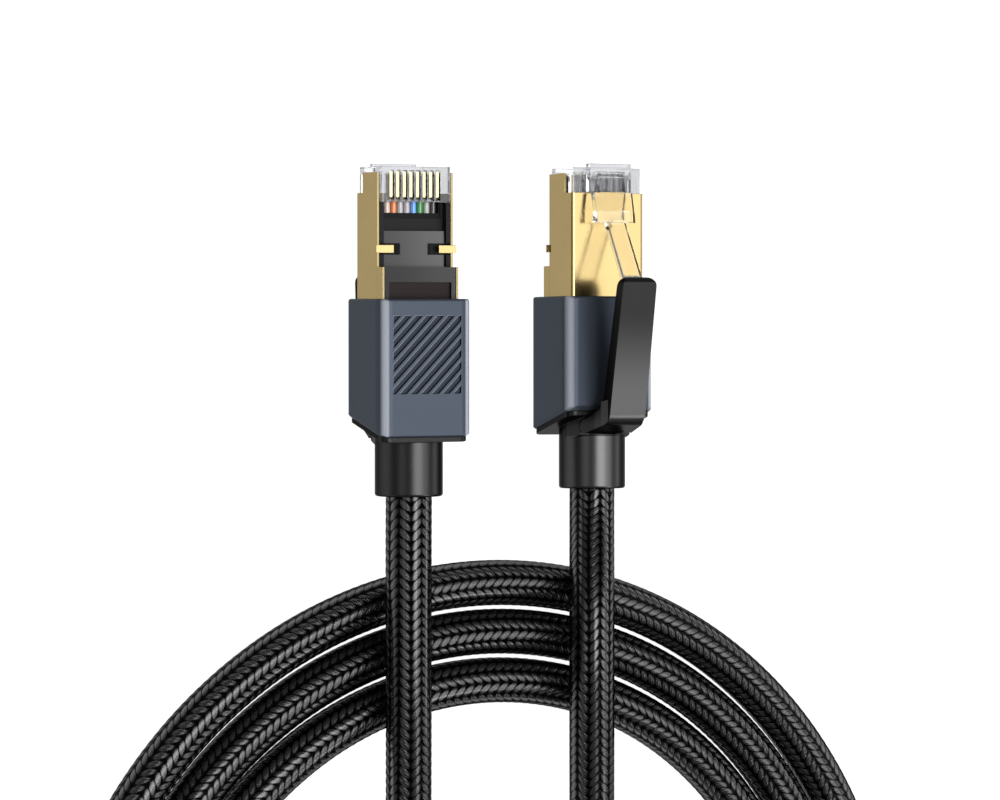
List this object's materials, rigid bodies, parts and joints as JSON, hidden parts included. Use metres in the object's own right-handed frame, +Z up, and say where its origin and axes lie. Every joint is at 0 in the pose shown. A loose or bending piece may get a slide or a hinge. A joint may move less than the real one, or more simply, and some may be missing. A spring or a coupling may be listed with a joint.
{
  "type": "ethernet patch cable",
  "caption": "Coiled braided network patch lead with a shielded modular plug on each end, each with a metal housing, a black boot and a snag-free latch lever.",
  "frame": {"origin": "centre of the footprint of the two plugs, on the table they lie on", "axes": "+Z up from the table, +Y towards the plugs' noses, +X from the plug that lies latch down to the plug that lies latch up"},
  "size_m": [0.1377, 0.172, 0.0199],
  "materials": {
    "housing_grey": "satin anodised blue-grey",
    "boot_black": "satin moulded black",
    "clear_plastic": "clear polycarbonate",
    "contact_gold": "polished gold plating",
    "shield_gold": "bright gold-coloured plating",
    "insert_dark": "satin dark grey",
    "wire_orange": "smooth insulation",
    "wire_green": "smooth insulation",
    "wire_blue": "smooth insulation",
    "wire_brown": "smooth insulation",
    "wire_white": "smooth insulation with tinted stripes",
    "collar_brass": "dull nickel brass",
    "cord_braid": "black nylon braid"
  },
  "bodies": {
    "lead": {"housing_a": "housing_grey", "boot_a": "boot_black", "plug_body_a": "clear_plastic", "contacts_a": "contact_gold", "shield_a": "shield_gold", "insert_a": "insert_dark", "load_bar_a": "clear_plastic", "wires_orange_a": "wire_orange", "wires_green_a": "wire_green", "wires_blue_a": "wire_blue", "wires_brown_a": "wire_brown", "wires_white_a": "wire_white", "crimp_collar_a": "collar_brass", "cable_end_a": "cord_braid", "housing_b": "housing_grey", "boot_b": "boot_black", "plug_body_b": "clear_plastic", "contacts_b": "contact_gold", "shield_b": "shield_gold", "insert_b": "insert_dark", "load_bar_b": "clear_plastic", "wires_orange_b": "wire_orange", "wires_green_b": "wire_green", "wires_blue_b": "wire_blue", "wires_brown_b": "wire_brown", "wires_white_b": "wire_white", "crimp_collar_b": "collar_brass", "cable_end_b": "cord_braid", "cord_run_a": "cord_braid", "cord_coil": "cord_braid", "cord_run_b": "cord_braid"},
    "lever_a": {"lever_a": "boot_black"},
    "latch_a": {"latch_a": "clear_plastic"},
    "lever_b": {"lever_b": "boot_black"},
    "latch_b": {"latch_b": "clear_plastic"}
  },
  "joints": [
    {"name": "lever_a_press", "type": "hinge", "parent": "lead", "child": "lever_a", "pos_m": [-0.01607, -0.01422, 0.00684], "axis": [1, 0, 0], "range_deg": [-7, 0], "stiffness_Nm_per_rad": 0.3},
    {"name": "latch_a_flex", "type": "hinge", "parent": "lead", "child": "latch_a", "pos_m": [-0.01607, 0.02108, 0.00659], "axis": [-1, 0, 0], "range_deg": [-9.6, 0], "stiffness_Nm_per_rad": 0.05},
    {"name": "lever_b_press", "type": "hinge", "parent": "lead", "child": "lever_b", "pos_m": [0.01591, -0.01389, 0.01092], "axis": [-1, 0.0087, 0], "range_deg": [0, 7], "stiffness_Nm_per_rad": 0.3},
    {"name": "latch_b_flex", "type": "hinge", "parent": "lead", "child": "latch_b", "pos_m": [0.01622, 0.02141, 0.01056], "axis": [1, -0.0087, 0], "range_deg": [0, 9.6], "stiffness_Nm_per_rad": 0.05}
  ],
  "couplings": [
    {"joint": "latch_a_flex", "follows": "lever_a_press", "ratio": 1.36},
    {"joint": "latch_b_flex", "follows": "lever_b_press", "ratio": 1.36}
  ]
}
